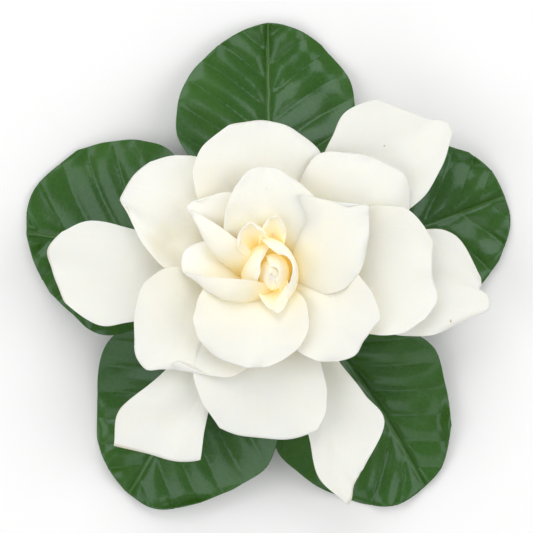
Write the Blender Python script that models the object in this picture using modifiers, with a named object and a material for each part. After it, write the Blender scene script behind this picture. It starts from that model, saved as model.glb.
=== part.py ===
# A gardenia flower lying face up: one double bloom, its stem and calyx, and five leaves below it.
# Lengths in the tables are in millimetres and angles in degrees; the meshes are in metres, +Z up.

import bmesh
import bpy
import numpy as np

MM = 0.001
PETAL_THICKNESS = 0.8
LEAF_THICKNESS = 0.8
SEPAL_THICKNESS = 0.9
SEPAL_COUNT = 6
SEPAL_LENGTH = 10.5
FLOOR_CUT = 0.25  # how deep each leaf's lowest part is cut flat
STEM_RADIUS = 2.2
PETIOLE_START = 2.6  # 0.3 mm off the stem, with the roundness of the rod's end
CORE_SIDES = 24
HEART = (1.2, -1.2)  # the bud in the middle stands a little off the stem's axis

# Outline of the corolla tube and the receptacle above it, as (radius, height).
CORE_PROFILE = (
    (0, 13.4), (3.0, 13.4), (3.1, 15.8), (5.7, 16.3), (6.3, 18.0),
    (6.5, 26.0), (6.0, 28.6), (4.4, 30.4), (0, 31.0),
)
# Outline of the cut stem and the cup of the calyx, as (radius, height).
STEM_PROFILE = (
    (0, 0.8), (2.0, 0.8), (STEM_RADIUS, 1.1), (STEM_RADIUS, 11.4), (2.6, 11.9), (3.6, 12.8),
    (4.2, 14.4), (4.3, 15.4), (3.5, 15.4), (3.4, 13.0), (0, 13.0),
)

# Blades: turn is the direction seen from above, root the (radius, height) of its foot, and lean the
# slope of the midrib at five stations from foot to tip. left and right are half-widths at five
# stations, left being the counter-clockwise side; corner sets the tip's two corners back; roll is
# how far each half curls up from the midrib.
OUTER = dict(root=(5, 17), lean=(38, 14, 0, -6, -8))
SECOND = dict(root=(5, 20), lean=(48, 24, 6, -2, -6))
THIRD = dict(root=(4.5, 23), lean=(74, 52, 24, 2, -14))
PETALS = {
    "outer_west": dict(OUTER, turn=183, length=51.5, left=(4, 7, 11.5, 12.5, 7),
                       right=(4, 7, 11, 13.5, 8), corner=(5, 3), roll=(25, 12, 6)),
    "outer_north_east": dict(OUTER, turn=45, length=50, left=(4, 7, 11, 14.5, 10),
                             right=(4, 8, 13, 15, 8), corner=(6, -3), roll=(25, 12, 8)),
    "outer_east": dict(OUTER, turn=-8, length=52, left=(4, 8, 13, 15, 6),
                       right=(4, 7, 12, 11, 5), corner=(4, 4), roll=(25, 10, 8)),
    "outer_south_west": dict(OUTER, turn=-121, length=50, left=(4, 4.5, 5.5, 8, 8),
                             right=(4, 6, 9, 13, 10), corner=(0, -3), roll=(25, 10, 8)),
    "outer_south": dict(turn=-92, length=39, root=(5, 20.2), lean=(40, 18, 2, -4, -8),
                        left=(5, 10, 14, 16.5, 12), right=(5, 12, 18, 16, 9),
                        corner=(1, 4), roll=(30, 20, 12)),
    "outer_south_east": dict(turn=-69, length=56.5, root=(5, 16.6), lean=(26, 10, 0, -6, -8),
                             left=(4, 6.5, 9, 13, 1), right=(4, 5, 5, 6.5, 4),
                             corner=(2, 0), roll=(20, 12, 8)),
    "second_north_west": dict(SECOND, turn=153, length=37.5, left=(4, 9, 13, 11, 4),
                              right=(4, 9, 14, 14, 7), corner=(4, 3), roll=(35, 25, 12), tilt=-6),
    "second_south_west": dict(SECOND, turn=224, length=36.5, root=(5, 21.5),
                              left=(4, 9, 14, 13, 7), right=(4, 10, 17, 16.5, 7),
                              corner=(8, 1), roll=(35, 22, 12), tilt=-4),
    "second_north": dict(SECOND, turn=92, length=34, root=(5, 21.5), left=(4, 12, 18, 16, 8),
                         right=(4, 10, 14, 14.5, 7), corner=(2, 3), roll=(35, 25, 14), tilt=8),
    "second_north_east": dict(SECOND, turn=46, length=35, root=(5, 22.5),
                              left=(4, 7, 10, 10.5, 5), right=(4, 9, 14, 15, 10),
                              corner=(2, 1), roll=(35, 10, -8)),
    "second_east": dict(SECOND, turn=-6, length=39, left=(4, 11, 17, 18, 10),
                        right=(4, 9, 13, 13.5, 6), corner=(3, 3), roll=(35, 22, 12)),
    "third_north": dict(THIRD, turn=92, length=26, root=(4.5, 25), left=(4, 10, 11, 9.5, 4.5),
                        right=(4, 10, 14, 11, 5), corner=(2, 2), roll=(60, 35, 10)),
    "third_north_east": dict(THIRD, turn=27, length=31.5, root=(4.5, 24.8),
                             left=(4, 11, 14, 11, 5), right=(4, 10, 13, 12, 5),
                             corner=(2, 5), roll=(60, 40, 10), tilt=-6),
    "third_south_east": dict(THIRD, turn=-40, length=31.5, root=(4.5, 22),
                             left=(4, 12, 16, 13, 8), right=(4, 8, 11, 11, 6),
                             corner=(1, 2), roll=(60, 40, 15)),
    "third_south": dict(THIRD, turn=-99, length=26.5, root=(4.5, 24.2), left=(4, 9, 13, 12.5, 6),
                        right=(5, 12, 16, 15, 8), corner=(2, 2), roll=(50, 25, 5)),
}
# The folded inner petals curl one half right over, and the heart petals stand up round the bud.
INNER_PETALS = {
    "folded_north_west": dict(turn=142, root=(4, 25), length=24, lean=(45, 28, 12, 4, -4),
                              left=(4, 14, 17, 14, 2), right=(4, 8, 9, 8, 3), corner=(3, 3),
                              roll=(120, 165, 165, 150), roll_right=(60, 45, 25)),
    "folded_west": dict(turn=196, root=(4, 26), length=20.5, lean=(40, 25, 8, -4, -12), sway=-7,
                        left=(4, 12, 15, 8, 3), right=(3, 8, 9, 8, 4), corner=(2, 2),
                        roll=(110, 140, 120, 60), roll_right=(60, 40, 20)),
    "curled_south": dict(turn=255, root=(2, 27.5), length=15, lean=(15, 42, 85, 140, 160),
                         shift=-6, left=(3, 7, 8, 8, 5), right=(3, 8, 9, 9, 7), corner=(2, 2),
                         roll=(20, 20, 20)),
}
HEART_PETALS = {
    "heart_north_west": dict(turn=128, root=(4, 28), length=15.5, lean=(62, 62, 55, 62, 80),
                             left=(2, 5, 5, 4, 2), right=(2, 5, 5, 4, 2), corner=(2, 2),
                             roll=(60, 70, 60)),
    "heart_north": dict(turn=88, root=(4, 28), length=14, lean=(62, 62, 58, 64, 80),
                        left=(2, 5, 5, 4, 2), right=(2, 5, 5, 4, 2), corner=(2, 2),
                        roll=(60, 70, 60)),
    "heart_east": dict(turn=20, root=(4.6, 26.5), length=14.5, lean=(76, 84, 90, 98, 116),
                       left=(7, 9, 9.5, 8, 4), right=(7, 9, 9.5, 8, 3), corner=(4, 6),
                       roll=(80, 90, 85)),
    "heart_south": dict(turn=-80, root=(3.5, 28), length=11.5, lean=(72, 70, 65, 62, 60),
                        left=(4, 6, 7, 5, 3), right=(4, 6, 6, 5, 3), corner=(2, 2),
                        roll=(70, 70, 60)),
    "bud_west": dict(turn=195, root=(2.2, 29), length=10, lean=(80, 86, 92, 102, 118),
                     left=(4, 5, 5, 4, 3), right=(4, 5, 5, 4, 3), corner=(2, 2),
                     roll=(95, 105, 100)),
    "bud_east": dict(turn=5, root=(3.0, 29), length=10.5, lean=(80, 86, 94, 106, 126),
                     left=(4, 5, 5, 4, 3), right=(4, 5, 5, 4, 3), corner=(2, 2),
                     roll=(85, 95, 90)),
}
LEAVES = {
    "leaf_1": dict(turn=90, length=59, root=(5, 9), lean=(4, -11, -17, -12, 8),
                   left=(2, 12, 21.5, 22, 13.5), right=(2, 12, 21.5, 22, 13.5)),
    "leaf_2": dict(turn=168, length=60, root=(5, 9), lean=(4, -11, -17, -12, 8),
                   left=(2, 13, 24, 23, 13), right=(2, 13, 24, 23, 15)),
    "leaf_3": dict(turn=17, length=60, root=(5, 9), lean=(4, -11, -17, -12, 8),
                   left=(2, 12, 20, 20, 14), right=(2, 12, 22, 22, 15)),
    "leaf_4": dict(turn=-56, length=66.5, root=(5, 9), lean=(2, -10, -16, -11, 8),
                   left=(2, 12, 21, 22, 14), right=(2, 13, 23, 22, 14)),
    "leaf_5": dict(turn=-122, length=65.5, root=(5, 9), lean=(2, -10, -16, -11, 8),
                   left=(2, 13, 24, 25, 15.5), right=(2, 13, 24, 22, 12)),
}
LEAF_SHAPE = dict(corner=(6, 6), roll=(24, 16, 12), tilt=5, ripple=(0.5, 3.0))


def through(values, places):
    """A smooth curve through evenly spaced values, read at places from 0 to 1."""
    values = np.asarray(values, float)
    last = len(values) - 1
    ends = 2 * values[0] - values[1], 2 * values[-1] - values[-2]
    values = np.concatenate([[ends[0]], values, [ends[1]]])
    places = np.clip(places, 0, 1) * last
    index = np.minimum(places.astype(int), last - 1)
    part = places - index
    a, b, c, d = (values[index + i] for i in range(4))
    return b + 0.5 * part * (c - a + part * (2 * a - 5 * b + 4 * c - d + part * (3 * (b - c) + d - a)))


def spine(blade):
    """Distances along the midrib, and its radius, height and slope at each."""
    fine = np.linspace(0, 1.1, 221)
    lean = np.radians(through(blade["lean"], fine))
    step = blade["length"] * (fine[1] - fine[0])
    middle = 0.5 * (lean[1:] + lean[:-1])
    radius = blade["root"][0] + np.concatenate([[0], np.cumsum(np.cos(middle)) * step])
    height = blade["root"][1] + np.concatenate([[0], np.cumsum(np.sin(middle)) * step])
    return fine * blade["length"], radius, height, lean


def placed(blade, radius, across, height):
    """Points at this radius and sideways distance, turned to the blade's direction."""
    turn = np.radians(blade["turn"])
    centre = blade.get("centre", (0, 0))
    x = centre[0] + radius * np.cos(turn) - across * np.sin(turn)
    y = centre[1] + radius * np.sin(turn) + across * np.cos(turn)
    return np.stack([x, y, height + 0 * x], axis=-1)


def blade_points(blade, along, side):
    """Points of a blade's middle surface: along runs 0 to 1 from foot to tip, side runs -1 to 1."""
    reach = np.abs(side)
    is_left = side > 0
    half = np.where(is_left, through(blade["left"], along), through(blade["right"], along))
    back = np.where(is_left, blade["corner"][0], blade["corner"][1])
    curl = through(blade["roll"], along)
    curl = np.where(is_left, curl, through(blade.get("roll_right", blade["roll"]), along))
    curl = np.radians(np.where(np.abs(curl) < 0.1, 0.1, curl))
    travelled = along * (blade["length"] - back * reach ** 2.2)
    distances, radii, heights, slopes = spine(blade)
    radius = np.interp(travelled, distances, radii)
    height = np.interp(travelled, distances, heights)
    slope = np.interp(travelled, distances, slopes)
    across = half * np.sin(curl * reach) / curl * np.sign(side)
    up = half * (1 - np.cos(curl * reach)) / curl
    amount, waves = blade.get("ripple", (0, 1))
    up = up + amount * reach ** 2 * along * np.sin(2 * np.pi * (waves * along + 0.25 * np.sign(side)))
    tilt = np.radians(blade.get("tilt", 0)) * np.minimum(1, 0.3 + along)
    across, up = across * np.cos(tilt) - up * np.sin(tilt), across * np.sin(tilt) + up * np.cos(tilt)
    radius = radius - up * np.sin(slope)
    height = height + up * np.cos(slope)
    across = across + blade.get("sway", 0) * (travelled / blade["length"]) ** 2 + blade.get("shift", 0)
    return placed(blade, radius, across, height)


def move_to_object(name, mesh, collection):
    """The mesh as an object of this collection."""
    item = bpy.data.objects.new(name, mesh)
    collection.objects.link(item)
    return item


def baked(item):
    """Applies the object's modifiers to its mesh."""
    bpy.context.view_layer.update()
    graph = bpy.context.evaluated_depsgraph_get()
    mesh = bpy.data.meshes.new_from_object(item.evaluated_get(graph))
    item.modifiers.clear()
    item.data = mesh
    return item


def blade_solid(name, blade, thickness, rows, columns, collection):
    """A grid laid on the blade's surface, triangulated and then thickened both ways."""
    grid = bmesh.new()
    bmesh.ops.create_grid(grid, x_segments=columns - 1, y_segments=rows - 1, size=1)
    flat = np.array([vertex.co[:] for vertex in grid.verts])
    solid = blade_points(blade, 0.5 * (flat[:, 1] + 1), flat[:, 0])
    for vertex, place in zip(grid.verts, solid):
        vertex.co = place * MM
    bmesh.ops.triangulate(grid, faces=grid.faces[:])
    mesh = bpy.data.meshes.new(name)
    grid.to_mesh(mesh)
    grid.free()
    item = move_to_object(name, mesh, collection)
    thick = item.modifiers.new("Thickness", "SOLIDIFY")
    thick.thickness = thickness * MM
    thick.offset = 0
    thick.use_even_offset = True
    return baked(item)


def turned_solid(name, profile, sides, collection):
    """A profile of (radius, height) turned round the Z axis with the Screw modifier."""
    mesh = bpy.data.meshes.new(name)
    points = [(radius * MM, 0, height * MM) for radius, height in profile]
    mesh.from_pydata(points, [(i, i + 1) for i in range(len(points) - 1)], [])
    item = move_to_object(name, mesh, collection)
    screw = item.modifiers.new("Turn", "SCREW")
    screw.steps = screw.render_steps = sides
    screw.use_merge_vertices = True
    screw.merge_threshold = 0.00001
    screw.use_normal_calculate = True
    return outward(baked(item))


def outward(item):
    """Turns the faces outwards and joins the points that lie together."""
    work = bmesh.new()
    work.from_mesh(item.data)
    bmesh.ops.remove_doubles(work, verts=work.verts[:], dist=0.000002)
    bmesh.ops.recalc_face_normals(work, faces=work.faces[:])
    work.to_mesh(item.data)
    work.free()
    return item


def rod(name, points, radii, collection):
    """A rod of varying radius along the points, with its ends filled."""
    curve = bpy.data.curves.new(name, "CURVE")
    curve.dimensions = "3D"
    curve.bevel_depth = MM
    curve.bevel_resolution = 1
    curve.use_fill_caps = True
    line = curve.splines.new("POLY")
    line.points.add(len(points) - 1)
    for target, place, radius in zip(line.points, points, radii):
        target.co = (*(place * MM), 1)
        target.radius = radius
    guide = move_to_object(name + "_guide", curve, collection)
    bpy.context.view_layer.update()
    graph = bpy.context.evaluated_depsgraph_get()
    mesh = bpy.data.meshes.new_from_object(guide.evaluated_get(graph))
    bpy.data.objects.remove(guide)
    return outward(move_to_object(name, mesh, collection))


def joined(item, operation, others):
    """Runs one Boolean of the object with every object of the collection, and removes them."""
    change = item.modifiers.new("Join", "BOOLEAN")
    change.operation = operation
    change.operand_type = "COLLECTION"
    change.collection = others
    change.solver = "MANIFOLD"
    baked(item)
    for other in list(others.objects):
        bpy.data.objects.remove(other)
    return item


def without_voids(item):
    """Fills the closed hollows that a union leaves between curled petals, by removing their shells."""
    work = bmesh.new()
    work.from_mesh(item.data)
    seen = set()
    for start in work.verts[:]:
        if not start.is_valid or start in seen:
            continue
        shell = {start}
        waiting = [start]
        while waiting:
            for edge in waiting.pop().link_edges:
                for vertex in edge.verts:
                    if vertex not in shell:
                        shell.add(vertex)
                        waiting.append(vertex)
        seen |= shell
        volume = 0
        for face in {face for vertex in shell for face in vertex.link_faces}:
            first, *others = (vertex.co for vertex in face.verts)
            for second, third in zip(others, others[1:]):
                volume += first.dot(second.cross(third))
        if volume < 0:
            bmesh.ops.delete(work, geom=list(shell), context="VERTS")
    work.to_mesh(item.data)
    work.free()
    return item


def painted(item, colour, roughness):
    """Gives the object its own Principled material."""
    material = bpy.data.materials.new(item.name)
    material.use_nodes = True
    shader = next(node for node in material.node_tree.nodes if node.type == "BSDF_PRINCIPLED")
    shader.inputs["Base Color"].default_value = (*colour, 1)
    shader.inputs["Roughness"].default_value = roughness
    item.data.materials.clear()
    item.data.materials.append(material)
    return item


def smallest_height(item):
    return min(vertex.co.z for vertex in item.data.vertices)


for old in list(bpy.data.objects):
    bpy.data.objects.remove(old)
parts = bpy.data.collections.new("gardenia_flower")
cutters = bpy.data.collections.new("cutters")
pieces = bpy.data.collections.new("pieces")
for collection in (parts, cutters, pieces):
    bpy.context.scene.collection.children.link(collection)

# Bloom: every petal is sunk in the receptacle, and one union makes them a single flower.
for name, petal in PETALS.items():
    blade_solid(name, petal, PETAL_THICKNESS, 8, 9, pieces)
for name, petal in INNER_PETALS.items():
    blade_solid(name, petal, PETAL_THICKNESS, 8, 13, pieces)
for name, petal in HEART_PETALS.items():
    blade_solid(name, dict(petal, centre=HEART), 0.7, 7, 9, pieces)
bloom = turned_solid("bloom", CORE_PROFILE, CORE_SIDES, parts)
joined(bloom, "UNION", pieces)
without_voids(bloom)
painted(bloom, (0.86, 0.83, 0.72), 0.55)

# Stem and calyx: a turned stem with a cup, and narrow sepals spreading below the petals.
for number in range(SEPAL_COUNT):
    sepal = dict(turn=30 + 360 * number / SEPAL_COUNT, root=(3.8, 13.6), length=SEPAL_LENGTH,
                 lean=(24, 14, 6, 0, 4), left=(1.3, 1.2, 1.1, 0.9, 0.5),
                 right=(1.3, 1.2, 1.1, 0.9, 0.5), corner=(0.6, 0.6), roll=(25, 25, 20))
    blade_solid("sepal_%d" % number, sepal, SEPAL_THICKNESS, 6, 5, pieces)
calyx = turned_solid("stem_and_calyx", STEM_PROFILE, CORE_SIDES, parts)
joined(calyx, "UNION", pieces)
painted(calyx, (0.16, 0.28, 0.07), 0.6)

# Leaves: a blade with a tapering midrib below it that runs out into the stalk. Each leaf is
# lowered until its midrib is a little below the floor, and the floor block cuts a flat spot there.
bpy.ops.mesh.primitive_cube_add(size=1, location=(0, 0, -10 * MM))
floor_block = bpy.context.object
floor_block.name = "floor_block"
floor_block.scale = (0.3, 0.3, 20 * MM)
floor_block.hide_render = True
floor_block.display_type = "WIRE"
for home in list(floor_block.users_collection):
    home.objects.unlink(floor_block)
cutters.objects.link(floor_block)
cutters.hide_render = True

for name, shape in LEAVES.items():
    leaf = dict(shape, **LEAF_SHAPE)
    item = blade_solid(name, leaf, LEAF_THICKNESS, 12, 11, parts)
    distances, radii, heights, slopes = spine(leaf)
    places = np.linspace(0, 0.93, 10) * leaf["length"]
    middle = placed(leaf, np.interp(places, distances, radii), 0 * places,
                    np.interp(places, distances, heights) - 0.45)
    start = placed(leaf, np.array([PETIOLE_START]), np.zeros(1), middle[:1, 2])
    thick = np.concatenate([[1.3], np.linspace(1.3, 0.5, 10)])
    rod(name + "_midrib", np.concatenate([start, middle]), thick, pieces)
    joined(item, "UNION", pieces)
    drop = smallest_height(item) + FLOOR_CUT * MM
    for vertex in item.data.vertices:
        vertex.co.z -= drop
    cut = item.modifiers.new("Flat spot", "BOOLEAN")
    cut.operation = "DIFFERENCE"
    cut.object = floor_block
    cut.solver = "MANIFOLD"
    baked(item)
    painted(item, (0.035, 0.13, 0.03), 0.3)

bpy.data.objects.remove(floor_block)
bpy.data.collections.remove(pieces)

# The origin is the middle of the bounding box, on the floor.
corners = np.array([vertex.co[:] for item in parts.objects for vertex in item.data.vertices])
shift = 0.5 * (corners.min(axis=0) + corners.max(axis=0))
for item in parts.objects:
    for vertex in item.data.vertices:
        vertex.co.x -= shift[0]
        vertex.co.y -= shift[1]
    print(item.name, len(item.data.polygons), "faces")
print("axis of the stem at", np.round(-shift[:2] / MM, 3), "mm")
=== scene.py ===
# Gardenia flower seen from above: ivory petals in layers round a spiral heart, over five glossy leaves.
# Tables are in millimetres and degrees, measured from the stem's axis; meshes are in metres.
import math
import bpy
import numpy as np
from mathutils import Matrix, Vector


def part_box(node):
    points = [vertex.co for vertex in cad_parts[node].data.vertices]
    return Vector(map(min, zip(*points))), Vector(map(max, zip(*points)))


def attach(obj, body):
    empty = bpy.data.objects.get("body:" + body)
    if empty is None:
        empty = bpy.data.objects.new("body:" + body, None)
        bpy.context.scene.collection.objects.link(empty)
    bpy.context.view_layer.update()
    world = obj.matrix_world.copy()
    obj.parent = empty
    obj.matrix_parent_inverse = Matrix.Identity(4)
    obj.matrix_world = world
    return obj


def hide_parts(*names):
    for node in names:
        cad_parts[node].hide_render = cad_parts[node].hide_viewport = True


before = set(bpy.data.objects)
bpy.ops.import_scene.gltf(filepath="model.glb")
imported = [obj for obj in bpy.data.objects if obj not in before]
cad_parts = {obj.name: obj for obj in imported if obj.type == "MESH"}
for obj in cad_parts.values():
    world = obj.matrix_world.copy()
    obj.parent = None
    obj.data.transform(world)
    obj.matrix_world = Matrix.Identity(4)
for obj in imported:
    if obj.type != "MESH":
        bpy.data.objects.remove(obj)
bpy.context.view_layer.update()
mm = 0.001
fullTurn = 2 * np.pi
stemLow, stemHigh = (np.array(corner, float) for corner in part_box("stem_and_calyx"))
axis = 0.5 * (stemLow + stemHigh)[:2]  # the sepals stand evenly round the stem, so its box is centred on it
print("frame loaded, stem axis at", np.round(axis / mm, 2), "mm")

# the photo's width, where the stem's axis lies in it, and how many millimetres one pixel is
photo = {"width": 533, "axisColumn": 268, "axisRow": 267, "pixel": 0.25}


# Shader maths written as expressions
class Link:
    # one output socket; sums, differences, products and powers of links add Math nodes to its tree
    def __init__(self, maker, socket):
        self.maker, self.socket = maker, socket

    def __add__(self, other):
        return self.maker.math("ADD", self, other)

    def __radd__(self, other):
        return self.maker.math("ADD", other, self)

    def __sub__(self, other):
        return self.maker.math("SUBTRACT", self, other)

    def __rsub__(self, other):
        return self.maker.math("SUBTRACT", other, self)

    def __mul__(self, other):
        return self.maker.math("MULTIPLY", self, other)

    def __rmul__(self, other):
        return self.maker.math("MULTIPLY", other, self)

    def __pow__(self, other):
        return self.maker.math("POWER", self, other)

    def __rpow__(self, other):
        return self.maker.math("POWER", other, self)


class Maker:
    # builds one material; add() makes a node from its type, its settings and its inputs
    def __init__(self, name):
        self.material = bpy.data.materials.new(name)
        self.material.use_nodes = True
        self.tree = self.material.node_tree
        self.shader = next(n for n in self.tree.nodes if n.type == "BSDF_PRINCIPLED")

    def add(self, kind, settings=None, inputs=None, output=0):
        node = self.tree.nodes.new("ShaderNode" + kind)
        for key, value in (settings or {}).items():
            setattr(node, key, value)
        for key, value in (inputs or {}).items():
            self.feed(node.inputs[key], value)
        return Link(self, node.outputs[output])

    def feed(self, socket, value):
        if isinstance(value, Link):
            self.tree.links.new(value.socket, socket)
        else:
            socket.default_value = value

    def math(self, operation, *values):
        return self.add("Math", {"operation": operation}, dict(enumerate(values)))

    def smooth(self, value, low, high):
        # 0 below low, 1 above high, with a soft passage
        limits = {"From Min": low, "From Max": high, "To Min": 0.0, "To Max": 1.0}
        return self.add("MapRange", {"interpolation_type": "SMOOTHSTEP"}, {"Value": value, **limits})

    def mix(self, amount, first, second):
        first, second = (c if isinstance(c, Link) else (*c, 1) for c in (first, second))
        return self.add("Mix", {"data_type": "RGBA"}, {"Factor": amount, 6: first, 7: second}, output=2)

    def noise(self, where, scale, detail=3.0, rough=0.5):
        inputs = {"Vector": where, "Scale": scale, "Detail": detail, "Roughness": rough}
        return self.add("TexNoise", {}, inputs)

    def place(self):
        return self.add("TexCoord", output="Object")

    def bladePlace(self):
        # how far across the blade and how far along it, both from 0 to 1
        return self.parts(self.add("TexCoord", output="UV"))[:2]

    def parts(self, vector):
        node = self.tree.nodes.new("ShaderNodeSeparateXYZ")
        self.feed(node.inputs[0], vector)
        return [Link(self, socket) for socket in node.outputs]

    def stretched(self, across, along):
        return self.add("CombineXYZ", {}, {0: across, 1: along})

    def bump(self, height, strength, distance, normal=None):
        inputs = {"Height": height, "Strength": strength, "Distance": distance}
        if normal is not None:
            inputs["Normal"] = normal
        return self.add("Bump", {}, inputs)

    def finish(self, **inputs):
        # feeds the shader: baseColor goes to the socket Base Color, specularIORLevel to Specular IOR Level
        for key, value in inputs.items():
            words = "".join(" " + letter if letter.isupper() else letter for letter in key)
            socketName = (words[0].upper() + words[1:]).replace("I O R", "IOR")
            self.feed(self.shader.inputs[socketName], value)
        return self.material


# Surfaces: what every blade has in common
bladeForm = {
    "spineReach": 1.1, "spineSteps": 441,  # the midrib is worked out a little past the tip
    "ragged": 0.012, "raggedFirst": 23, "raggedSecond": 11,  # waver of the sides: share of the width, waves
    "cornerBack": 0.35, "cornerIn": 0.3,  # rounding of the end's two corners
    "leastRoll": 0.1,  # degrees, so that the arc across is never divided by nothing
    "footTilt": 0.3,  # the share of the tilt that the foot has
    "ruffle": (0.35, 3.1, 0),  # height, waves and phase along the free sides
    "ruffleOffset": 0.21, "tipRuffle": 0.6, "tipWaves": 1.3,
    "uneven": 0.35, "longWaves": 7, "crossWaves": 4.5,  # two crossed waves over the whole blade
    "fineUneven": 0.35, "fineWaves": 13, "fineSwing": 7, "fineBend": 3,
    "bunching": 0.47,  # how much closer the columns lie towards the sides
}
quiltForm = {
    "slant": 0.95, "bend": 0.012,  # a side vein's course: mm along for each mm across, and its slow change
    "roundness": 0.6, "midrib": 0.12, "foot": 12,  # the swell starts this far from the midrib and the foot
    "least": 0.75, "calmAlong": 0.11, "calmAcross": 3,  # the swell is weaker in places
    "valleyRise": 0.5, "valleyWidth": 0.06,  # the midrib lies in a valley
}
# the bud's walls: share and waves of the radius, mm and waves of the top
scrollForm = {"waver": 0.06, "waverTurns": 3.3, "topWave": 0.35, "topTurns": 2.3}
rimForm = {"sidePower": 6, "endPower": 14}  # how late the wall thins towards its sides and its end


def through(values, places):
    # a smooth curve through evenly spaced values: a cubic between each pair, with the slope at each
    # value taken from its two neighbours
    values = np.asarray(values, float)
    last = len(values) - 1
    before, after = 2 * values[0] - values[1], 2 * values[-1] - values[-2]
    values = np.concatenate([[before], values, [after]])
    places = np.clip(places, 0, 1) * last
    index = np.minimum(places.astype(int), last - 1)
    part = places - index
    a, b, c, d = (values[index + i] for i in range(4))
    return b + 0.5 * part * (c - a + part * (2 * a - 5 * b + 4 * c - d + part * (3 * (b - c) + d - a)))


def spine(blade):
    # the midrib seen from the side: radius and height are the running sums of the cosine and sine of
    # its lean, from the root
    fine = np.linspace(0, bladeForm["spineReach"], bladeForm["spineSteps"])
    lean = np.radians(through(blade["lean"], fine))
    step = blade["length"] * (fine[1] - fine[0])
    middle = 0.5 * (lean[1:] + lean[:-1])
    radius = blade["root"][0] + np.concatenate([[0], np.cumsum(np.cos(middle)) * step])
    height = blade["root"][1] + np.concatenate([[0], np.cumsum(np.sin(middle)) * step])
    return fine * blade["length"], radius, height, lean


def waveHeight(blade, along, side):
    # what the waves add to the blade's height: a ruffle that grows with the cube of the reach from the
    # midrib, another that grows with the fifth power of along, two crossed waves and a finer, bent one
    # that grow evenly along, and each dent's rise * exp(-distance^2). The turn is each blade's phase.
    form, start = bladeForm, blade["turn"]
    amount, waves, phase = blade.get("ruffle", form["ruffle"])
    sideRuffle = np.sin(fullTurn * (waves * along + phase + form["ruffleOffset"] * np.sign(side)))
    tipRuffle = np.sin(fullTurn * (form["tipWaves"] * side + phase))
    rise = amount * (np.abs(side) ** 3 * along * sideRuffle + form["tipRuffle"] * along ** 5 * tipRuffle)
    broad = np.sin(form["longWaves"] * along + start) * np.sin(form["crossWaves"] * side + 2 * start)
    swing = form["fineSwing"] * side * np.sin(form["fineBend"] * along + start)
    small = form["fineUneven"] * np.sin(form["fineWaves"] * along + swing + 3 * start)
    rise = rise + blade.get("uneven", form["uneven"]) * along * (broad + small)
    for place, aside, longWidth, sideWidth, depth in blade.get("dents", ()):
        rise = rise + depth * np.exp(-((along - place) / longWidth) ** 2 - ((side - aside) / sideWidth) ** 2)
    return rise


def quiltHeight(blade, travelled, half, reach, side):
    # the leaf swells between its side veins: a rounded rise for each vein's number, which is
    # (distance along the midrib - slant * distance across + bend * distance across^2) / spacing,
    # with the veins of the two halves set off from each other by half a number
    form, across = quiltForm, half * reach
    course = travelled - form["slant"] * across + form["bend"] * across ** 2
    number = course / blade["spacing"] + 0.5 * (side > 0)
    swell = np.abs(np.sin(np.pi * number)) ** form["roundness"]
    fade = np.clip(reach / form["midrib"], 0, 1) * (1 - reach ** 6) * np.clip(travelled / form["foot"], 0, 1)
    calm = np.sin(form["calmAlong"] * travelled + form["calmAcross"] * side + blade["turn"])
    fade = fade * (form["least"] + (1 - form["least"]) * calm)
    return blade["quilt"] * (swell * fade + form["valleyRise"] * np.minimum(reach / form["valleyWidth"], 1))


def bladePoints(blade, along, side):
    # along is 0 at the foot and 1 at the tip, side is -1 to 1 across. The distance along the midrib
    # is along * (length - tip), where tip says how far the end's edge lies back at five places from
    # right to left. Across, each half is an arc of its half-width that turns through its roll,
    # squashed for a flat fold. That arc stands square to the midrib, whose lean gives radius and
    # height. lip lowers the free edge, by reach^4 towards the sides and along^8 towards the tip, and
    # tilt turns the blade round its midrib.
    form, reach, isLeft = bladeForm, np.abs(side), side > 0
    half = np.where(isLeft, through(blade["left"], along), through(blade["right"], along))
    waver = np.sin(form["raggedFirst"] * along + blade["turn"])
    waver = waver * np.sin(form["raggedSecond"] * along + 2 * np.sign(side))
    half = half * (1 + blade.get("ragged", form["ragged"]) * waver)
    rollRight = blade.get("rollRight", blade["roll"])
    curl = np.where(isLeft, through(blade["roll"], along), through(rollRight, along))
    curl = np.radians(np.where(np.abs(curl) < form["leastRoll"], form["leastRoll"], curl))
    travelled = along * (blade["length"] - through(blade["tip"], 0.5 + 0.5 * side))
    for place, depth, width in blade.get("notches", ()):  # a bite in the tip's edge
        travelled = travelled - depth * along ** 8 * np.exp(-((side - place) / width) ** 2)
    corner = (along ** 2 * reach) ** 6  # 1 where the sides meet the end, and nearly 0 elsewhere
    travelled, half = travelled - form["cornerBack"] * corner, half - form["cornerIn"] * corner
    distances, radii, heights, slopes = spine(blade)
    radius, height, slope = (np.interp(travelled, distances, row) for row in (radii, heights, slopes))
    across = half * np.sin(curl * reach) / curl * np.sign(side)
    up = half * (1 - np.cos(curl * reach)) / curl * blade.get("squash", 1)
    edge = 1 - (1 - reach ** 4) * (1 - along ** 8)
    up = up - blade.get("lip", 0) * edge + waveHeight(blade, along, side)
    if "quilt" in blade:
        up = up + quiltHeight(blade, travelled, half, reach, side)
    tilt = np.radians(blade.get("tilt", 0)) * np.minimum(1, form["footTilt"] + along)
    across, up = across * np.cos(tilt) - up * np.sin(tilt), across * np.sin(tilt) + up * np.cos(tilt)
    radius = radius - up * np.sin(slope)
    height = height + up * np.cos(slope)
    across = across + blade.get("sway", 0) * (travelled / blade["length"]) ** 2
    turn = math.radians(blade["turn"])
    centre = blade.get("centre", (0, 0))
    x = centre[0] + radius * math.cos(turn) - across * math.sin(turn)
    y = centre[1] + radius * math.sin(turn) + across * math.cos(turn)
    return np.stack([x, y, height], axis=-1)


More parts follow.
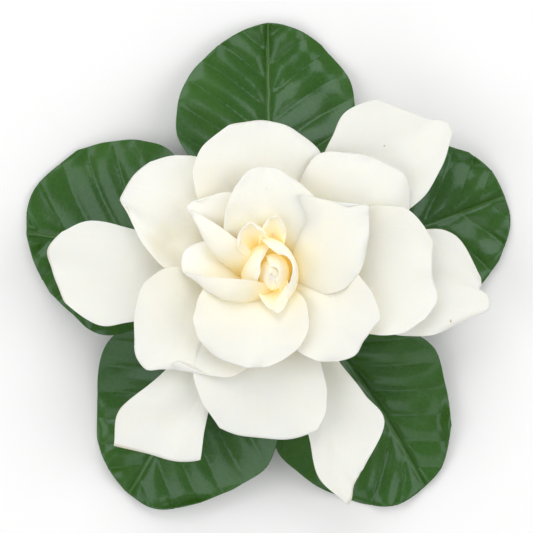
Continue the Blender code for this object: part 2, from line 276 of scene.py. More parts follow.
def shell(blade, rows, columns, thickness, edgeThickness):
    # a blade on a grid whose columns lie closer towards the sides, given a wall that thins there
    spread = np.linspace(-bladeForm["bunching"], bladeForm["bunching"], columns)
    spread = np.sin(spread * np.pi) / math.sin(bladeForm["bunching"] * np.pi)
    along, side = np.meshgrid(np.linspace(0, 1, rows), spread, indexing="ij")
    return walled(bladePoints(blade, along, side), along, side, thickness, edgeThickness)


def scroll(wound, rows, columns, thickness, edgeThickness):
    # a wall wound round a centre. Its radius grows evenly with the angle, stretched along x and y, and
    # shrinks with the cube of the height; its top rises or falls evenly and is waved.
    wrap, lifted = np.meshgrid(np.linspace(0, 1, rows), np.linspace(0, 1, columns), indexing="ij")
    angle = np.radians(wound["start"] + 360 * wound["turns"] * wrap)
    inner, outer = wound["radii"]
    radius = (inner + (outer - inner) * wrap) * (1 - wound["closing"] * lifted ** 3)
    radius = radius * (1 + scrollForm["waver"] * np.sin(scrollForm["waverTurns"] * angle) * lifted)
    low, high = wound["rise"]
    topWave = scrollForm["topWave"] * np.sin(scrollForm["topTurns"] * angle)
    height = wound["foot"] + (low + (high - low) * wrap + topWave) * lifted
    middle = np.stack([wound["centre"][0] + wound["stretch"][0] * radius * np.cos(angle),
                       wound["centre"][1] + wound["stretch"][1] * radius * np.sin(angle), height], -1)
    return walled(middle, lifted, 2 * wrap - 1, thickness, edgeThickness)


def walled(middle, along, side, thickness, edgeThickness):
    # a middle surface moved both ways along its normal by half the thickness, which thins towards the
    # sides and the end, with a strip that closes the rim
    rows, columns = along.shape
    normal = np.cross(np.gradient(middle, axis=1), np.gradient(middle, axis=0))
    normal /= np.maximum(np.linalg.norm(normal, axis=-1, keepdims=True), 1e-9)
    inside = (1 - np.abs(side) ** rimForm["sidePower"]) * (1 - along ** rimForm["endPower"])
    offset = normal * 0.5 * (edgeThickness + (thickness - edgeThickness) * inside)[..., None]
    points = np.concatenate([(middle - offset).reshape(-1, 3), (middle + offset).reshape(-1, 3)])
    number = np.arange(rows * columns).reshape(rows, columns)
    quads = np.stack([number[:-1, :-1], number[:-1, 1:], number[1:, 1:], number[1:, :-1]], -1)
    quads = quads.reshape(-1, 4)
    ring = np.concatenate([number[0, :-1], number[:-1, -1], number[-1, :0:-1], number[:0:-1, 0]])
    after = np.roll(ring, -1)
    count = rows * columns
    strip = np.stack([ring, after, after + count, ring + count], -1)
    uv = np.stack([0.5 + 0.5 * side, along], -1).reshape(-1, 2)
    return points, np.concatenate([quads[:, ::-1], quads + count, strip]), np.concatenate([uv, uv])


def ringFaces(rows, sides):
    # the faces of stacked rings and of the fans that close them on two end points; a fan's triangle is
    # a quad whose last two corners are one point
    number = np.arange(rows * sides).reshape(rows, sides)
    nextOne = np.roll(number, -1, axis=1)
    firstPoint, lastPoint = np.full(sides, rows * sides), np.full(sides, rows * sides + 1)
    quads = np.stack([number[:-1], nextOne[:-1], nextOne[1:], number[1:]], -1).reshape(-1, 4)
    start = np.stack([nextOne[0], number[0], firstPoint, firstPoint], -1)
    end = np.stack([number[-1], nextOne[-1], lastPoint, lastPoint], -1)
    return np.concatenate([quads, start, end])


def tube(path, radii, sides):
    # circles of the given radii carried along a path, closed at both ends by points on the path
    ahead = np.gradient(path, axis=0)
    ahead /= np.linalg.norm(ahead, axis=1, keepdims=True)
    nearlyUp = (0.001, 0.002, 1.0)  # never quite along the path
    sideways = np.cross(ahead, nearlyUp)
    sideways /= np.linalg.norm(sideways, axis=1, keepdims=True)
    upward = np.cross(sideways, ahead)
    angle = np.linspace(0, fullTurn, sides, endpoint=False)[None, :, None]
    circles = np.cos(angle) * sideways[:, None] + np.sin(angle) * upward[:, None]
    rings = path[:, None] + radii[:, None, None] * circles
    points = np.concatenate([rings.reshape(-1, 3), path[:1], path[-1:]])
    along = np.repeat(np.linspace(0, 1, len(path)), sides)
    uv = np.stack([np.full(len(along), 0.5), along], -1)
    return points, ringFaces(len(path), sides), np.concatenate([uv, [[0.5, 0], [0.5, 1]]])


def lathe(profile, sides, ribs, ribCount, ribFrom=0.0):
    # a profile of (radius, height) turned round the stem, its radius waved by ribs * cos(ribCount * angle)
    profile = np.asarray(profile, float)
    fine = np.linspace(0, 1, 6 * len(profile))
    steps = np.concatenate([[0], np.cumsum(np.linalg.norm(np.diff(profile, axis=0), axis=1))])
    radius, height = (np.interp(fine * steps[-1], steps, profile[:, i]) for i in (0, 1))
    angle = np.linspace(0, fullTurn, sides, endpoint=False)[None, :]
    waved = radius[:, None] * (1 + ribs * np.cos(ribCount * angle) * (height > ribFrom)[:, None])
    level = np.broadcast_to(height[:, None], waved.shape)
    rings = np.stack([waved * np.cos(angle), waved * np.sin(angle), level], -1)[1:-1]
    points = np.concatenate([rings.reshape(-1, 3), [[0, 0, height[0]], [0, 0, height[-1]]]])
    around, along = np.broadcast_arrays(angle / fullTurn, fine[1:-1, None])
    uv = np.stack([around, along], -1).reshape(-1, 2)
    return points, ringFaces(len(rings), sides), np.concatenate([uv, [[0, 0], [0, 1]]])


def makePiece(name, shells, material, node):
    # joins the shells' arrays into one mesh; a quad whose last two corners are one point is a triangle
    points = np.concatenate([s[0] for s in shells]) * mm
    points[:, :2] += axis
    offsets = np.cumsum([0] + [len(s[0]) for s in shells[:-1]])
    faces = np.concatenate([s[1] + offset for s, offset in zip(shells, offsets)])
    uv = np.concatenate([s[2] for s in shells])
    isTriangle = faces[:, 2] == faces[:, 3]
    sizes = np.where(isTriangle, 3, 4)
    keep = np.ones(faces.shape, bool)
    keep[isTriangle, 3] = False
    corners = faces[keep]
    mesh = bpy.data.meshes.new(name)
    mesh.vertices.add(len(points))
    mesh.vertices.foreach_set("co", points.ravel())
    mesh.loops.add(len(corners))
    mesh.loops.foreach_set("vertex_index", corners)
    mesh.polygons.add(len(faces))
    mesh.polygons.foreach_set("loop_start", np.concatenate([[0], np.cumsum(sizes)[:-1]]))
    mesh.polygons.foreach_set("use_smooth", np.ones(len(faces), bool))
    mesh.update(calc_edges=True)
    layer = mesh.uv_layers.new(name="bladeUv")
    layer.data.foreach_set("uv", uv[corners].ravel())
    mesh.validate()
    piece = bpy.data.objects.new(name, mesh)
    bpy.context.scene.collection.objects.link(piece)
    mesh.materials.append(material)
    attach(piece, "root")
    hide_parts(node)


# Petals
petalFinish = {
    # the darker ivory of the outer petals is painted shade
    "ivory": (0.93, 0.92, 0.84), "paintedShadeIvory": (0.89, 0.885, 0.815), "cream": (0.95, 0.895, 0.71),
    "shade": (0.88, 0.86, 0.74), "gold": (0.78, 0.55, 0.13), "speck": (0.42, 0.28, 0.10),
    # the glow colour is painted light, an emission that stands in for light through the petals
    "dryEdge": (0.62, 0.44, 0.24), "glow": (0.36, 0.32, 0.22),
    "mottleScale": 90.0, "fineScale": 1400.0, "patchScale": 45.0, "raggedScale": 1500.0,  # noise, per metre
    "veinCount": 46.0, "veinLength": 3.0, "veinBump": 0.12, "fineBump": 0.08,
    "veinDepth": 0.0004, "fineDepth": 0.0002,
    # each tint's amount, and where its mask starts and is full
    "mottleShade": 0.25, "mottleRange": (0.45, 0.75), "veinShade": 0.16, "veinRange": (0.5, 0.72),
    "creamMottle": 0.25, "footGold": 0.85, "marginRange": (0.982, 1.0), "patchRange": (0.5, 0.7),
    "paintedGlowRange": (0.0, 0.9), "paintedShadeAmount": 0.3, "speckAmount": 0.8, "spotRange": (0.6, 1.5),
    "raggedDepth": 0.0007,
    "roughness": 0.5, "roughnessChange": 0.12, "sheen": 0.05,
    "softness": 0.25, "softnessDepth": 0.0015, "softnessRadius": (1.0, 0.8, 0.5),
    # column and row in the photo, and size in millimetres
    # the cream spots are painted warm shade in creases and valleys
    "blushes": ((322, 184, 3.5), (312, 262, 4), (165, 245, 4), (215, 275, 3)),
    "specks": ((384, 146, 0.45), (267, 191, 0.35), (450, 321, 0.6), (260, 397, 0.3),
               (131, 180, 0.5), (62, 297, 0.5)),
}


def addSpots(make, place, colour):
    # tints round spots with ragged edges, full and then none at two shares of a spot's size: the cream
    # ones are painted warm shade in creases and valleys, the brown specks real marks
    x, y, _ = make.parts(place)
    inside, outside = petalFinish["spotRange"]
    ragged = make.noise(place, petalFinish["raggedScale"], 2.0) * petalFinish["raggedDepth"]
    for spots, tint, amount in (("blushes", "cream", "paintedShadeAmount"), ("specks", "speck", "speckAmount")):
        for column, row, size in petalFinish[spots]:
            spotX = (column - photo["axisColumn"]) * photo["pixel"] * mm + axis[0]
            spotY = (photo["axisRow"] - row) * photo["pixel"] * mm + axis[1]
            away = make.math("SQRT", (x - spotX) ** 2.0 + (y - spotY) ** 2.0) + ragged
            near = 1 - make.smooth(away, size * inside * mm, size * outside * mm)
            colour = make.mix(near * petalFinish[amount], colour, petalFinish[tint])
    return colour


def petalMaterial(name, creamFrom, creamTo, depth, glow=0.0, pale="ivory", drying=0.0):
    # ivory at the margin, cream towards the foot and gold from the foot out to depth, a share of the
    # length, with faint veins that run lengthwise. The glow is painted light: an emission that stands in
    # for light coming through the petals and lifts their shade.
    make, look = Maker(name), petalFinish
    place, (aside, along) = make.place(), make.bladePlace()
    mottle = make.noise(place, look["mottleScale"], 4.0, 0.6)
    veins = make.stretched(aside * look["veinCount"], along * look["veinLength"])
    streak = make.noise(veins, 1.0, 4.0, 0.6)
    fine = make.noise(place, look["fineScale"], 2.0)
    patches = make.smooth(make.noise(place, look["patchScale"], 2.0), *look["patchRange"])
    reach = make.math("MAXIMUM", make.math("ABSOLUTE", aside * 2.0 - 1.0), along)
    margin = make.smooth(reach, *look["marginRange"])
    cream = 1 - make.smooth(along + look["creamMottle"] * (mottle - 0.5), creamFrom, creamTo)
    foot = 1 - make.smooth(along, 0.0, depth)
    colour = make.mix(cream, look[pale], look["cream"])
    colour = make.mix(make.smooth(mottle, *look["mottleRange"]) * look["mottleShade"], colour, look["shade"])
    colour = make.mix(make.smooth(streak, *look["veinRange"]) * look["veinShade"], colour, look["shade"])
    colour = make.mix(foot * look["footGold"], colour, look["gold"])
    colour = make.mix(margin * patches * drying, colour, look["dryEdge"])
    colour = addSpots(make, place, colour)
    relief = make.bump(streak, look["veinBump"], look["veinDepth"])
    relief = make.bump(fine, look["fineBump"], look["fineDepth"], relief)
    # painted glow: emission, gold at the foot and paler further out
    paintedGlowColour = make.mix(make.smooth(along, *look["paintedGlowRange"]), look["gold"], look["glow"])
    return make.finish(baseColor=colour, roughness=look["roughness"] + look["roughnessChange"] * (fine - 0.5),
                       normal=relief, emissionColor=paintedGlowColour, emissionStrength=glow, sheenWeight=look["sheen"],
                       subsurfaceWeight=look["softness"], subsurfaceRadius=look["softnessRadius"],
                       subsurfaceScale=look["softnessDepth"])


petalMaterials = {
    # the outer petals' ivory is darkened: painted shade
    "outerPetals": petalMaterial("outerPetal", 0.0, 0.7, 0.06, pale="paintedShadeIvory", drying=0.5),
    "secondPetals": petalMaterial("secondPetal", 0.1, 0.95, 0.06, drying=0.2),
    "thirdPetals": petalMaterial("thirdPetal", 0.15, 1.0, 0.3),
    # the folded and heart petals get a painted glow
    "foldedPetals": petalMaterial("foldedPetal", 0.25, 0.9, 0.45, glow=0.12),
    "heartPetals": petalMaterial("heartPetal", 0.4, 1.3, 0.6, glow=0.32),
}

# A blade's turn is its direction seen from above, root the radius and height of its foot, and lean the
# midrib's slope from foot to tip. left and right are half-widths from foot to tip, left being the
# counter-clockwise side. A dent is (along, side, its width along, its width across, rise), and a notch
# (side, depth, width).
outer = dict(root=(5, 17), lean=(38, 14, 0, -6, -8))
second = dict(root=(5, 20), lean=(48, 24, 6, -2, -6))
third = dict(root=(4.5, 23), lean=(74, 52, 24, 2, -14))
folded = dict(squash=0.5, ruffle=(0.15, 2.3, 0))
petalWall = dict(rows=64, columns=61, thickness=0.6, edgeThickness=0.26)
petalTiers = {
    "outerPetals": (
        # west
        dict(outer, turn=182, length=50.5, sway=-1, tip=(2.5, -1, 0, 1.5, 3),
             left=(4, 5.5, 8.5, 11, 13, 13.5, 8.5),
             right=(4, 5.5, 7.5, 9, 11, 12.5, 10),
             roll=(25, 12, 6), dents=((0.75, 0.1, 0.25, 0.5, -0.8),)),
        # north-east
        dict(outer, turn=44, length=51, sway=-1, tip=(-2.5, -3, 0, 3, 6),
             left=(4, 5.5, 7.5, 9.5, 12.5, 15, 12.5),
             right=(4, 6.5, 10, 13, 14, 11.5, 7),
             roll=(25, 12, 8), dents=((0.75, 0, 0.2, 0.4, -1),)),
        # east
        dict(outer, turn=-11, length=52.5, sway=3, tip=(4.5, 0, 0, 2.5, 3.5),
             left=(4, 6.5, 10, 13, 15.5, 15, 5.5),
             right=(4, 6, 9, 11, 11.5, 10.5, 6),
             roll=(25, 10, 8), notches=((0.35, 1.2, 0.12),), dents=((0.8, 0.2, 0.2, 0.2, -0.8),)),
        # south-west
        dict(outer, turn=-119, length=51, sway=0.5, tip=(-3.5, -1.5, 0, 1.5, 4),
             left=(4, 4, 4.5, 4, 3.5, 5.5, 8.5),
             right=(4, 5, 7, 9, 12, 15.5, 13),
             roll=(25, 10, 8), dents=((0.8, 0, 0.15, 0.4, -1.2),)),
        # south
        dict(turn=-92, length=39, sway=0, tip=(2, 0.5, 0, 0, 2.5),
             left=(5, 8, 11.5, 13.5, 15.5, 16, 14),
             right=(5, 9.5, 15, 17.5, 17.5, 15, 11),
             root=(5, 20.2), lean=(40, 18, 2, -4, -8), roll=(30, 20, 12)),
        # south-east
        dict(turn=-69, length=54.5, sway=0.5, tip=(-4.5, -3, 0, 2, 3.5),
             left=(4, 5, 6.5, 8.5, 11, 13, 4.5),
             right=(4, 4.5, 5, 5.5, 6, 7.5, 3.5),
             root=(5, 16.6), lean=(26, 10, 0, -6, -8), roll=(20, 12, 8),
             dents=((0.75, 0, 0.15, 0.4, -1),)),
    ),
    "secondPetals": (
        # north-west, with a fold across its left half
        dict(second, turn=150, length=37.5, sway=3, tip=(1.5, 0, 0, 0.5, 2.5),
             left=(4, 7, 11.5, 13, 11, 7.5, 2.5),
             right=(4, 7, 11.5, 15, 16.5, 15, 11),
             roll=(35, 25, 12), rollRight=(35, 20, -4), tilt=1,
             dents=((0.56, 0.45, 0.14, 0.3, -3.5), (0.66, 0.95, 0.12, 0.25, 1.6),
                    (0.8, 0.1, 0.2, 0.4, 0.8))),
        # south-west
        dict(second, turn=221, length=36.5, sway=-0.5, tip=(1.5, 0, 0, 2.5, 7),
             left=(4, 7, 11.5, 15, 15.5, 12.5, 3.5),
             right=(4, 8, 13, 17, 17, 13, 7),
             root=(5, 21.2), roll=(35, 22, 12), tilt=-2),
        # north
        dict(second, turn=92, length=33.5, sway=0, tip=(3, 1, 0, 0.5, 1),
             left=(4, 9, 14.5, 18, 18.5, 15.5, 9),
             right=(4, 7.5, 11.5, 13, 14, 14, 9),
             root=(5, 21.5), roll=(35, 25, 14), rollRight=(35, 12, -6), tilt=6, lip=0.8),
        # north-east
        dict(second, turn=45, length=36, sway=-2.5, tip=(-0.5, -1.5, 0, 1.5, 4),
             left=(4, 5.5, 7.5, 9, 11.5, 12, 7.5),
             right=(4, 7, 11, 14.5, 16, 14.5, 9),
             root=(5, 22.5), roll=(35, 10, -8), rollRight=(35, 4, -24, -24), lip=1),
        # east
        dict(second, turn=-6, length=38, sway=2, tip=(0.5, -2, 0, 0.5, 0.5),
             left=(4, 8.5, 13.5, 16.5, 17.5, 16, 9),
             right=(4, 7, 11.5, 14.5, 15, 14.5, 11),
             roll=(35, 22, 12)),
    ),
    "thirdPetals": (
        # north
        dict(third, turn=92, length=25.5, sway=0.5, tip=(1.5, 0.5, 0, 0.5, 1.5),
             left=(4, 8, 10.5, 11, 10, 7.5, 4.5),
             right=(4, 8, 12, 13.5, 13, 10, 5.5),
             root=(4.5, 25.4), roll=(55, 32, 10), rollRight=(55, 12, -8), tilt=2),
        # north-east
        dict(third, turn=29, length=30, sway=-0.5, tip=(4, 2, 0, -0.5, 4),
             left=(4, 8.5, 12.5, 14, 12, 8, 4),
             right=(4, 8, 11.5, 13.5, 13, 11, 6.5),
             root=(4.5, 23.4), roll=(50, 30, 10), rollRight=(50, 10, -10), tilt=-4, lip=1),
        # south-east
        dict(third, turn=-44, length=30, sway=3.5, tip=(1, -1, 0, 0.5, 0.5),
             left=(4, 8.5, 12, 13.5, 12.5, 10.5, 7),
             right=(4, 6.5, 9.5, 11, 11.5, 11, 8.5),
             root=(4.5, 22.2), lean=(68, 46, 20, 2, -12), roll=(40, 22, 8), rollRight=(50, 26, 8)),
        # south
        dict(third, turn=-100, length=26, sway=-1.5, tip=(2, 0.5, 0, 0.5, 1),
             left=(4, 7, 11, 13, 13, 10.5, 6),
             right=(5, 9.5, 14, 15.5, 15.5, 13.5, 10),
             root=(4.5, 24.2), roll=(50, 25, 5), tilt=4),
    ),
    "foldedPetals": (
        # north-west, its lower half curled right over
        dict(folded, turn=143, length=21.4, root=(6.5, 26), lean=(60, 42, 20, 6, -4),
             tip=(1.5, 0.3, 0, 0.5, 2),
             left=(13, 17, 18.4, 17.2, 12, 5.6, 1.5), right=(4, 7, 9, 10, 10, 8, 3),
             roll=(130, 184, 189, 194, 190), rollRight=(60, 50, 35, 20, 10)),
        # west, folded the same way
        dict(folded, turn=177, length=20.4, root=(4, 24.5), lean=(60, 44, 22, 4, -8),
             tip=(1, 0.2, 0, 0.3, 1.2),
             left=(19, 22, 24, 23.5, 18, 10, 4.5), right=(3, 5, 6.5, 7, 6.4, 5.4, 4),
             roll=(130, 150, 157, 155, 140, 110), rollRight=(60, 40, 20)),
    ),
}
for tierName, tier in petalTiers.items():
    petalShells = [shell(petal, **petalWall) for petal in tier]
    makePiece(tierName, petalShells, petalMaterials[tierName], "bloom")
print("petals made")

heart = {
    "petals": (
        # two small cups above the bud
        dict(turn=118, root=(4, 28), length=15, lean=(42, 46, 54, 70, 88), tip=(2, 0.4, 0, 0.2, 1),
             left=(2, 4.4, 6, 6.2, 3.4), right=(2, 4.2, 5, 5, 2.8), roll=(60, 88, 80)),
        dict(turn=82, root=(4, 28), length=16, lean=(40, 44, 52, 66, 84), tip=(3, 0.8, 0, 1, 3.5),
             left=(2, 4, 4.6, 4, 1.6), right=(2, 4, 4.8, 4.6, 2), roll=(60, 88, 70)),
        # the bright crescent on the right, about a centre a little off the stem's axis
        dict(centre=(0.7, -1.2), turn=8, root=(5.6, 25), length=15.5, lean=(76, 84, 90, 97, 112),
             tip=(5, 1.5, 0, 1.2, 4), left=(8, 10.5, 13, 12, 6), right=(8, 11, 14, 13, 6), roll=(80, 86, 84)),
        # its neighbour on the left
        dict(centre=(1.7, -1.2), turn=168, root=(8.4, 26), length=13, lean=(85, 96, 110, 128, 148),
             tip=(2, 0.4, 0, 0.4, 2), left=(7, 9, 9.5, 8, 4), right=(7, 9, 9.5, 8, 4), roll=(80, 85, 80)),
        # the lower cup
        dict(turn=-76, root=(4, 26.5), length=13, lean=(56, 52, 50, 58, 70), tip=(2, 0.4, 0, 0.4, 2),
             left=(3, 4.5, 5.5, 4.5, 2), right=(3, 5, 5.5, 4.5, 2), roll=(70, 80, 60)),
    ),
    "ruffle": (0.15, 2.3, 0),
    "petalWall": dict(rows=44, columns=49, thickness=0.5, edgeThickness=0.24),
    # the bud between them closes over at the top, and a last petal wraps its right side
    "bud": (
        dict(centre=(0.9, -1.7), start=235, turns=1.25, radii=(2.4, 3.7), stretch=(0.9, 1.15), closing=0.97,
             foot=27, rise=(11, 10)),
        dict(centre=(1.2, -1.6), start=-62, turns=0.5, radii=(4.3, 4.4), stretch=(0.88, 1.12), closing=0.62,
             foot=27, rise=(9.4, 9.6)),
    ),
    "budWall": dict(rows=150, columns=24, thickness=0.5, edgeThickness=0.3),
}
heartShells = [shell(dict(petal, ruffle=heart["ruffle"]), **heart["petalWall"]) for petal in heart["petals"]]
heartShells += [scroll(wound, **heart["budWall"]) for wound in heart["bud"]]
makePiece("heartPetals", heartShells, petalMaterials["heartPetals"], "bloom")

receptacle = {
    "profile": ((0, 13.4), (3.0, 13.4), (3.1, 15.8), (5.7, 16.3), (6.3, 18.0), (6.5, 26.0), (6.0, 28.6),
                (4.4, 30.4), (0, 31.0)),
    "sides": 72, "ribs": 0.02, "ribCount": 12,
    "green": (0.72, 0.74, 0.46), "golds": ((0.85, 0.60, 0.14), (0.80, 0.64, 0.22)), "mottleScale": 300.0,
    "greenBelow": 25, "goldAbove": 29, "glow": 0.15, "roughness": 0.6,
}


def receptacleMaterial():
    # pale green where the petals grow together, golden at the top, where the gold also glows as painted light
    make, look = Maker("receptacleGold"), receptacle
    place = make.place()
    height = make.parts(place)[2]
    gold = make.mix(make.noise(place, look["mottleScale"]), *look["golds"])
    top = make.smooth(height, look["greenBelow"] * mm, look["goldAbove"] * mm)
    return make.finish(baseColor=make.mix(top, look["green"], gold), roughness=look["roughness"],
                       emissionColor=make.mix(top, (0.0, 0.0, 0.0), gold), emissionStrength=look["glow"])


receptacleShell = lathe(*(receptacle[key] for key in ("profile", "sides", "ribs", "ribCount")))
makePiece("receptacle", [receptacleShell], receptacleMaterial(), "bloom")
print("heart made")

# Leaves
leafShape = {
    "common": dict(root=(5, 9), roll=(24, 16, 12), tilt=5, quilt=1.2, spacing=7.8, uneven=0.9,
                   ruffle=(0.5, 3.0, 0), ragged=0.006),
    "leaf_1": dict(turn=90, length=58.5, sway=0, tip=(5.5, 1.5, 0, 2, 6), lean=(4, -11, -17, -12, 8),
                   left=(2, 9, 17, 23, 23.5, 20.5, 13.5),
                   right=(2, 9, 15.5, 20, 22, 20.5, 14)),
    "leaf_2": dict(turn=170, length=58.5, sway=2.5, tip=(9, 0, 0, 3.5, 9), lean=(4, -11, -17, -12, 8),
                   left=(2, 9.5, 17, 22, 24, 20, 15),
                   right=(2, 9.5, 18.5, 25.5, 27, 25.5, 23)),
    "leaf_3": dict(turn=11, length=59, sway=6.5, tip=(4.5, 0, 0, 2, 7), lean=(4, -11, -17, -12, 8),
                   left=(2, 8.5, 15, 19.5, 21, 19.5, 14.5),
                   right=(2, 8.5, 16, 21, 22.5, 20.5, 15.5)),
    "leaf_4": dict(turn=-47, length=64.5, sway=-9, tip=(8, 1.5, 0, 1, 7), lean=(2, -10, -16, -11, 8),
                   left=(2, 8.5, 13.5, 17, 20.5, 18, 14.5),
                   right=(2, 9.5, 18.5, 27.5, 27, 23.5, 17.5)),
    "leaf_5": dict(turn=-122, length=64, sway=0.5, tip=(7.5, 2.5, 0, 0.5, 8), lean=(2, -10, -16, -11, 8),
                   left=(2, 9.5, 17.5, 25, 27, 23, 17.5),
                   right=(2, 9.5, 17.5, 23.5, 24, 19.5, 14.5)),
    "wall": dict(rows=130, columns=91, thickness=0.55, edgeThickness=0.3),
    # the midrib is a tube under the blade, from the petiole's start beside the stem to near the tip
    "midribRadius": (1.3, 0.35), "midribSteps": 60, "midribSides": 14, "midribEnd": 0.93, "midribDrop": 0.5,
    "petioleStart": 2.6,
    "dark": (0.014, 0.070, 0.004), "light": (0.046, 0.140, 0.008), "veinlet": (0.055, 0.150, 0.030),
    "midribGreen": (0.12, 0.24, 0.06), "paleness": 0.25,
    "midribRange": (0.015, 0.05), "netRange": (0.0, 0.12),
    "mottleScale": 60.0, "netScale": 520.0, "netBump": 0.05, "netBumpRange": (0.0, 0.2), "netDepth": 0.0003,
    "roughness": 0.2, "roughnessChange": 0.12, "shine": 0.4, "shineTint": (0.75, 0.92, 1.0, 1.0),
    "coat": 0.2, "coatRoughness": 0.12,
}


def leafMaterial():
    # dark glossy green, a little paler along the midrib and along a fine net of veinlets
    make, look = Maker("glossyLeaf"), leafShape
    place, (aside, _) = make.place(), make.bladePlace()
    reach = make.math("ABSOLUTE", aside * 2.0 - 1.0)
    mottle = make.noise(place, look["mottleScale"], 4.0, 0.6)
    netInputs = {"Vector": place, "Scale": look["netScale"]}
    net = make.add("TexVoronoi", {"feature": "DISTANCE_TO_EDGE"}, netInputs)
    midrib = 1 - make.smooth(reach, *look["midribRange"])
    veinlet = 1 - make.smooth(net, *look["netRange"])
    colour = make.mix(mottle, look["dark"], look["light"])
    colour = make.mix(veinlet * look["paleness"], colour, look["veinlet"])
    colour = make.mix(midrib * look["paleness"], colour, look["midribGreen"])
    relief = make.bump(make.smooth(net, *look["netBumpRange"]), look["netBump"], look["netDepth"])
    return make.finish(baseColor=colour, roughness=look["roughness"] + look["roughnessChange"] * mottle,
                       normal=relief, specularIORLevel=look["shine"], specularTint=look["shineTint"],
                       coatWeight=look["coat"], coatRoughness=look["coatRoughness"])


def makeLeaf(leafName, material):
    leaf = dict(leafShape["common"], **leafShape[leafName])
    blade = shell(leaf, **leafShape["wall"])
    steps, turn = leafShape["midribSteps"], math.radians(leaf["turn"])
    nearMiddle = 1e-6  # just beside the midrib, where a side has a sign
    middle = bladePoints(leaf, np.linspace(0, leafShape["midribEnd"], steps), np.full(steps, nearMiddle))
    middle[:, 2] -= leafShape["midribDrop"]
    away = leafShape["petioleStart"]
    path = np.concatenate([[(away * math.cos(turn), away * math.sin(turn), middle[0, 2])], middle])
    radii = np.linspace(*leafShape["midribRadius"], steps)
    rib = tube(path, np.concatenate([radii[:1], radii]), leafShape["midribSides"])
    # both are lifted until their lowest point is the solid's lowest
    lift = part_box(leafName)[0][2] / mm - min(part[0][:, 2].min() for part in (blade, rib))
    for part in (blade, rib):
        part[0][:, 2] += lift
    makePiece(leafName.replace("_", "") + "Blade", [blade, rib], material, leafName)


leafGreen = leafMaterial()
for leafName in ("leaf_1", "leaf_2", "leaf_3", "leaf_4", "leaf_5"):
    makeLeaf(leafName, leafGreen)
print("leaves made")

# Stem, calyx and sepals
sepalHalf = (1.3, 1.2, 1.1, 0.9, 0.5)
calyx = {
    "profile": ((0, 0.8), (2.0, 0.8), (2.2, 1.1), (2.2, 11.4), (2.6, 11.9), (3.6, 12.8), (4.2, 14.4),
                (4.3, 15.4), (3.5, 15.4), (3.4, 13.0), (0, 13.0)),
    "sides": 72, "ribs": 0.05, "ribCount": 6, "ribFrom": 11.5,
    "sepals": 6, "firstSepal": 30,
    "sepal": dict(root=(3.8, 13.6), length=10.5, lean=(24, 14, 6, 0, 4), left=sepalHalf, right=sepalHalf,
                  tip=(0.6, 0.1, 0, 0.1, 0.6), roll=(25, 25, 20), ruffle=(0.1, 2, 0)),
    "sepalWall": dict(rows=30, columns=13, thickness=0.8, edgeThickness=0.4),
    "dark": (0.10, 0.22, 0.04), "light": (0.24, 0.36, 0.10), "streakCount": 30.0, "streakLength": 4.0,
    "roughness": 0.5, "streakBump": 0.2, "streakDepth": 0.0003,
}


def stemMaterial():
    # fresh green with lengthwise streaks
    make, look = Maker("freshStem"), calyx
    around, along = make.bladePlace()
    streak = make.noise(make.stretched(around * look["streakCount"], along * look["streakLength"]), 1.0)
    return make.finish(baseColor=make.mix(streak, look["dark"], look["light"]), roughness=look["roughness"],
                       normal=make.bump(streak, look["streakBump"], look["streakDepth"]))


stemShells = [lathe(calyx["profile"], calyx["sides"], calyx["ribs"], calyx["ribCount"], calyx["ribFrom"])]
for i in range(calyx["sepals"]):
    sepal = dict(calyx["sepal"], turn=calyx["firstSepal"] + 360 * i / calyx["sepals"])
    stemShells.append(shell(sepal, **calyx["sepalWall"]))
makePiece("stemAndCalyx", stemShells, stemMaterial(), "stem_and_calyx")
print("stem and calyx made")

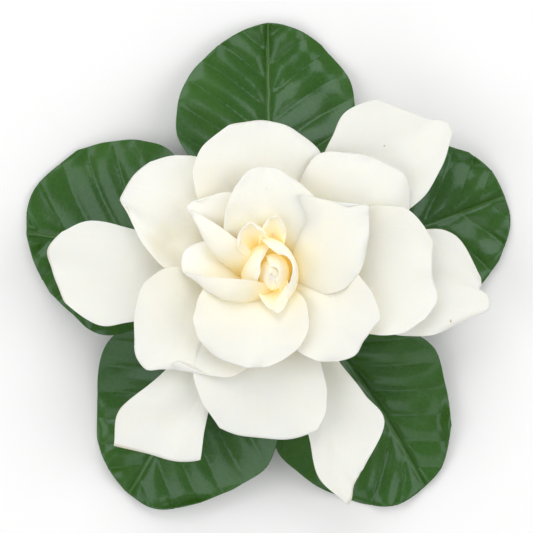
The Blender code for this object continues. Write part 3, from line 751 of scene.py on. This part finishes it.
# Floor, light and camera
stage = {
    "floorSize": 3.0, "floorColours": ((0.97, 0.97, 0.97), (0.94, 0.94, 0.94)), "floorRoughness": 0.8,
    "floorMottle": 0.1, "floorMottleScale": 3.0,
    "worldColour": (1.0, 1.0, 1.0), "worldStrength": 0.4,
    # large soft boxes round a darker zenith: size and distance in metres, height as an angle, then each
    # box's name, its direction and its power
    "boxSize": 1.0, "boxAway": 1.4, "boxLift": 48,
    "boxes": (("southBox", -95, 3.0), ("eastBox", 5, 5.2), ("northBox", 95, 6.4), ("westBox", 185, 5.0)),
    "cameraHeight": 0.9, "sharpHeight": 0.02, "sensorWidth": 36, "clip": (0.05, 10),
}
bpy.ops.mesh.primitive_plane_add(size=stage["floorSize"])
floor = bpy.context.object
floor.name = "paleFloor"
floorMake = Maker("paleFloor")
floorMottle = floorMake.noise(floorMake.place(), stage["floorMottleScale"]) * stage["floorMottle"]
floor.data.materials.append(floorMake.finish(
    baseColor=floorMake.mix(floorMottle, *stage["floorColours"]), roughness=stage["floorRoughness"]))

world = bpy.data.worlds.new("softWorld")
bpy.context.scene.world = world
world.use_nodes = True
background = next(n for n in world.node_tree.nodes if n.type == "BACKGROUND")
background.inputs["Color"].default_value = (*stage["worldColour"], 1)
background.inputs["Strength"].default_value = stage["worldStrength"]

lift = math.radians(stage["boxLift"])
for name, direction, power in stage["boxes"]:
    lamp = bpy.data.lights.new(name, "AREA")
    lamp.energy, lamp.size = power, stage["boxSize"]
    box = bpy.data.objects.new(name, lamp)
    bpy.context.scene.collection.objects.link(box)
    heading = math.radians(direction)
    towards = math.cos(lift) * math.cos(heading), math.cos(lift) * math.sin(heading), math.sin(lift)
    box.location = [stage["boxAway"] * part for part in towards]
    box.rotation_euler = (0, math.pi / 2 - lift, heading)  # aimed at the flower

# the camera hangs over the photo's middle, and at sharpHeight the frame is as wide as the photo's pixels
view = bpy.data.cameras.new("cameraAbove")
camera = bpy.data.objects.new("cameraAbove", view)
bpy.context.scene.collection.objects.link(camera)
pixelSize = photo["pixel"] * mm
photoMiddle = photo["width"] / 2
view.sensor_width = stage["sensorWidth"]
cameraAway = stage["cameraHeight"] - stage["sharpHeight"]
view.lens = stage["sensorWidth"] * cameraAway / (photo["width"] * pixelSize)
view.clip_start, view.clip_end = stage["clip"]
camera.location = (axis[0] + (photoMiddle - photo["axisColumn"]) * pixelSize,
                   axis[1] + (photo["axisRow"] - photoMiddle) * pixelSize, stage["cameraHeight"])
bpy.context.scene.camera = camera
bpy.context.scene.view_settings.view_transform = "Standard"
print("light and camera set")
